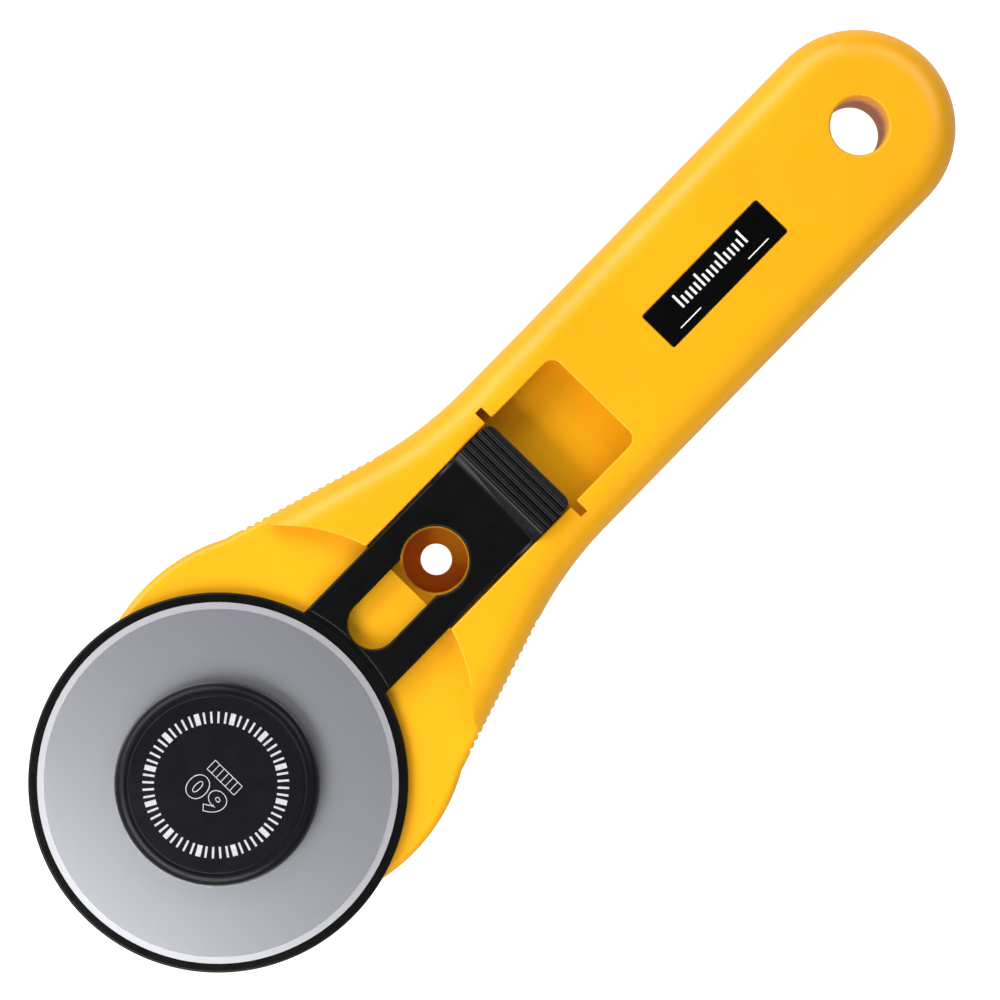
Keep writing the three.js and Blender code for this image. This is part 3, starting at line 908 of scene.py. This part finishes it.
numerals = bpy.data.curves.new("blade_size", "FONT")
numerals.body = "60"
numerals.align_x = "CENTER"
numerals.align_y = "CENTER"
numerals.size = 5.3
numerals.offset = 0.26
numerals.space_character = 1.22
numerals.fill_mode = "NONE"
numerals.bevel_depth = 0.062
numerals.bevel_resolution = 1
numerals.resolution_u = 6
lettered = bpy.data.objects.new("cap_numerals", numerals)
bpy.context.scene.collection.objects.link(lettered)
bpy.context.view_layer.update()
graph = bpy.context.evaluated_depsgraph_get()
numeral_mesh = bpy.data.meshes.new_from_object(lettered.evaluated_get(graph))
bpy.data.objects.remove(lettered)
NUMERALS_X = -2.05
STRETCH = 1.2
FLATTEN = 0.2
for vertex in numeral_mesh.vertices:
    across, up, out = vertex.co
    vertex.co = (
        BOLT_X + (NUMERALS_X - up) * MM,
        STRETCH * across * MM,
        (CAP_TOP + out * FLATTEN) * MM,
    )
cap_numerals = bpy.data.objects.new("cap_numerals", numeral_mesh)
bpy.context.scene.collection.objects.link(cap_numerals)
dress(cap_numerals, cap_ink, "bolt", "black_plastic")

# ---- Stud ----
# The turned steel bolt under the cap: a round seat for the blade, two flats that stop it turning
# in the handle, and a thread for the nut.
STUD_LOW = low("bolt_stud")[2]
STUD_TOP = high("bolt_stud")[2]
THREAD_R = 2.95
THREAD_PITCH = 1.0
THREAD_DEEP = 0.5
SEAT_R = 4.0
FLAT_HALF = 3.2
FLANGE_R = 6.0


def turned_steel(name, dark, light, rough):
    """Metal from the lathe, with fine rings left by the tool."""
    material, tree, shader, where = new_material(name)
    shader.inputs["Metallic"].default_value = 1.0
    radius = distance_from_bolt(tree, where)
    lines = rings_of_grinding(tree, radius, 0.3)
    tree.links.new(blend_colours(tree, lines, dark, light, 0.3), shader.inputs["Base Color"])
    tree.links.new(ranged(tree, noise(tree, where, 0.6), rough, rough + 0.1), shader.inputs["Roughness"])
    relief(tree, shader, lines, 0.004, 0.2)
    return material


bolt_steel = turned_steel("bolt_steel", (0.42, 0.43, 0.45), (0.55, 0.56, 0.58), 0.26)


def threaded_rod(name, r, z0, z1, deep, steps=48, per_turn=12):
    """A rod whose thread is a wave that climbs one pitch for each turn, with its tip tapered."""
    loops = [([(0.25 * x, 0.25 * y) for x, y in disc(0, 0, r, steps)()], z0)]
    rows = int((z1 - z0) / THREAD_PITCH * per_turn)
    for k in range(rows + 1):
        z = z0 + (z1 - z0) * k / rows
        fade = min(1, (z - z0) / 0.6)
        points = []
        for i in range(steps):
            phase = (z / THREAD_PITCH - i / steps) % 1
            depth = deep * abs(2 * phase - 1)
            rr = (r - depth) * (0.82 + 0.18 * fade)
            a = 2 * math.pi * i / steps
            points.append((rr * math.cos(a), rr * math.sin(a)))
        loops.append((points, z))
    return solid(name, loops)


stud = threaded_rod("stud", THREAD_R, STUD_LOW, BOSS_Z + 0.3, THREAD_DEEP)
seat = solid("seat", rings(disc(0, 0, SEAT_R, 96), BOSS_Z + 0.2, STUD_TOP - 1.6, (0.3, 0.3)))
for y0, y1 in ((FLAT_HALF, 6), (-6, -FLAT_HALF)):
    combine(seat, "DIFFERENCE", cutter(panel(-6, 6, y0, y1, 0.1), 0, BLADE_LOW - 0.05))
combine(stud, "UNION", seat)
flange = rings(disc(0, 0, FLANGE_R, 96), STUD_TOP - 1.5, STUD_TOP, (0.2, 0.2), (0.2, 0.2), 3)
combine(stud, "UNION", solid("flange", flange))
dress(stud, bolt_steel, "bolt", "bolt_steel", "bolt_stud", sharp=30)

# ---- Spring washer ----
# A thin wavy ring of spring steel between the head plate and the nut, which keeps the blade pressed
# lightly against the guard.
WASHER_LOW = low("spring_washer")[2]
WASHER_TOP = high("spring_washer")[2]
spring_steel = turned_steel("spring_steel", (0.45, 0.45, 0.46), (0.6, 0.6, 0.61), 0.24)


def wave_washer(inner, outer, thick, wave, waves=3, steps=144):
    """A flat ring bent into waves, with its edges rounded."""
    work = bmesh.new()
    corners = [(inner + 0.06, -1), (outer - 0.06, -1), (outer, -0.7), (outer, 0.7)]
    corners += [(outer - 0.06, 1), (inner + 0.06, 1), (inner, 0.7), (inner, -0.7)]
    rows = []
    for i in range(steps):
        a = 2 * math.pi * i / steps
        lift = (WASHER_LOW + WASHER_TOP) / 2 + wave * math.cos(waves * a)
        rows.append(
            [
                work.verts.new(
                    (BOLT_X + r * MM * math.cos(a), r * MM * math.sin(a), (lift + s * thick / 2) * MM)
                )
                for r, s in corners
            ]
        )
    for one, two in zip(rows, rows[1:] + rows[:1]):
        for k in range(len(corners)):
            m = (k + 1) % len(corners)
            work.faces.new((one[k], one[m], two[m], two[k]))
    bmesh.ops.recalc_face_normals(work, faces=work.faces)
    return as_object("wave_washer", work)


WAVE = 0.22
WASHER_INNER_R = 3.3
WASHER_OUTER_R = 7.6
washer = wave_washer(WASHER_INNER_R, WASHER_OUTER_R, WASHER_TOP - WASHER_LOW - 2 * WAVE, WAVE)
dress(washer, spring_steel, "washer", "spring_steel", "spring_washer", sharp=40)

# ---- Thumb nut ----
# A knurled black plastic knob with a finger bar across its face, moulded round a six-sided brass
# insert that holds the thread.
NUT_LOW = low("nut_knob")[2]
NUT_TOP = high("nut_knob")[2]
NUT_R = 11.1
HEX_R = 5.2
NUT_WALL = 1.7
BAR_HALF = 3.1

knob = solid("nut_knob_body", rings(disc(0, 0, NUT_R, 120), NUT_LOW, NUT_TOP, (0.9, 0.9), (0.5, 0.5)))
hollow = cutter(disc(0, 0, NUT_R - NUT_WALL, 96), NUT_LOW, NUT_LOW + 2.6)
collar = disc(0, 0, HEX_R + 1.2, 72)
bar = panel(-30, 30, -BAR_HALF, BAR_HALF, 0.3)
combine(hollow, "DIFFERENCE", solid("collar", rings(collar, NUT_LOW - 9, NUT_LOW + 9)))
combine(hollow, "DIFFERENCE", solid("bar", rings(bar, NUT_LOW - 9, NUT_LOW + 9)))
combine(knob, "DIFFERENCE", hollow)
combine(
    knob,
    "DIFFERENCE",
    cutter(disc(0, 0, HEX_R + 0.05, 6), NUT_LOW + 1.4, NUT_TOP + 1),
    cutter(disc(0, 0, THREAD_R + 0.8, 48), NUT_LOW, NUT_TOP + 1, 0, 0.3),
)
dress(knob, black, "nut", "black_plastic", "nut_knob")


def ring_of_posts():
    """Round posts standing in a ring about the bolt."""
    tree = node_tree("ring of posts", Count=3, Ring=1.0, Post=1.0, Bottom=0.0, Height=1.0)
    inputs = add(tree, "NodeGroupInput")
    post = add(
        tree,
        "GeometryNodeMeshCylinder",
        {"Vertices": 10, "Radius": inputs["Post"], "Depth": inputs["Height"]},
    )
    ring = add(tree, "GeometryNodeMeshCircle", {"Vertices": inputs["Count"], "Radius": inputs["Ring"]})
    posts = add(tree, "GeometryNodeInstanceOnPoints", {"Points": ring["Mesh"], "Instance": post["Mesh"]})
    half = add(tree, "ShaderNodeMath", {0: inputs["Height"], 1: 0.5}, operation="MULTIPLY")
    up = add(tree, "ShaderNodeMath", {0: inputs["Bottom"], 1: half[0]}, operation="ADD")
    shift = add(tree, "ShaderNodeCombineXYZ", {0: BOLT_X, 2: up[0]})
    placed = add(
        tree, "GeometryNodeTransform", {"Geometry": posts["Instances"], "Translation": shift[0]}
    )
    return end_tree(tree, inputs, placed["Geometry"])


knurls = grown(
    "nut_knurls",
    ring_of_posts(),
    black,
    Count=30,
    Ring=(NUT_R - 0.25) * MM,
    Post=0.6 * MM,
    Bottom=(NUT_LOW + 0.9) * MM,
    Height=(NUT_TOP - NUT_LOW - 1.4) * MM,
)
dress(knurls, black, "nut", "black_plastic")

brass = turned_steel("brass", (0.52, 0.33, 0.12), (0.66, 0.44, 0.18), 0.28)
hexagon = disc(0, 0, HEX_R, 6)
insert = solid("brass_insert", rings(hexagon, NUT_LOW + 1.5, NUT_TOP - 0.1, (0.2, 0.2), (0.2, 0.2), 2))
combine(insert, "DIFFERENCE", cutter(disc(0, 0, THREAD_R + 0.1, 48), NUT_LOW, NUT_TOP + 1))
dress(insert, brass, "nut", "brass", "nut_insert", sharp=30)

# ---- Table, light and camera ----
# A pale table lit softly from one long side and from all round, seen from straight above.
work = bmesh.new()
bmesh.ops.create_grid(work, x_segments=1, y_segments=1, size=2.5)
table = as_object("table", work)
table.data.transform(Matrix.Translation((0, 0, -0.0002)))
pale, pale_tree, pale_shader, pale_where = new_material("pale_table")
pale_tree.links.new(
    blend_colours(pale_tree, noise(pale_tree, pale_where, 60, 3), (0.34, 0.34, 0.34), (0.36, 0.36, 0.36)),
    pale_shader.inputs["Base Color"],
)
pale_shader.inputs["Roughness"].default_value = 0.7
pale_shader.inputs["Emission Color"].default_value = (1, 1, 1, 1)
# The table glows, but it lights the cutter from below less than it shows itself.
seen = pale_tree.nodes.new("ShaderNodeLightPath").outputs["Is Camera Ray"]
pale_tree.links.new(ranged(pale_tree, seen, 0.3, 1.0, 0, 1), pale_shader.inputs["Emission Strength"])
table.data.materials.append(pale)

world = bpy.data.worlds.new("studio")
world.use_nodes = True
world.node_tree.nodes["Background"].inputs["Color"].default_value = (1, 1, 1, 1)
world.node_tree.nodes["Background"].inputs["Strength"].default_value = 0.1
bpy.context.scene.world = world


def softbox(name, place, aim, wide, tall, power):
    """A soft rectangular lamp, in metres and watts, turned towards a point."""
    light = bpy.data.lights.new(name, "AREA")
    light.shape = "RECTANGLE"
    light.size = wide
    light.size_y = tall
    light.energy = power
    lamp = bpy.data.objects.new(name, light)
    lamp.location = place
    direction = [a - p for a, p in zip(aim, place)]
    lamp.rotation_euler = Vector(direction).to_track_quat("-Z", "Y").to_euler()
    bpy.context.scene.collection.objects.link(lamp)


softbox("key", (0.0, 0.85, 0.54), (0.0, 0.0, 0.01), 1.5, 0.48, 7.2)
softbox("above_key_side", (0.0, 0.9, 0.8), (0.0, 0.9, 0.0), 1.6, 0.7, 8.0)
softbox("above_blade_end", (-0.43, -0.16, 0.4), (-0.43, -0.16, 0.0), 0.35, 0.7, 5.4)
softbox("above_hanging_end", (0.95, 0.0, 0.8), (0.95, 0.0, 0.0), 0.8, 1.0, 7.6)
softbox("above_far_side", (0.0, -0.85, 0.8), (0.0, -0.85, 0.0), 1.4, 0.7, 1.6)

CAMERA_X = 66.3
CAMERA_Y = -0.7
CAMERA_ABOVE = 600
CAMERA_TURN = math.radians(-45.69)
lens = bpy.data.cameras.new("camera")
lens.lens = 130.2
lens.clip_start = 0.01
camera = bpy.data.objects.new("camera", lens)
camera.location = (BOLT_X + CAMERA_X * MM, CAMERA_Y * MM, (BLADE_TOP + CAMERA_ABOVE) * MM)
camera.rotation_euler = (0, 0, CAMERA_TURN)
bpy.context.scene.collection.objects.link(camera)
bpy.context.scene.camera = camera
bpy.context.scene.view_settings.view_transform = "Standard"
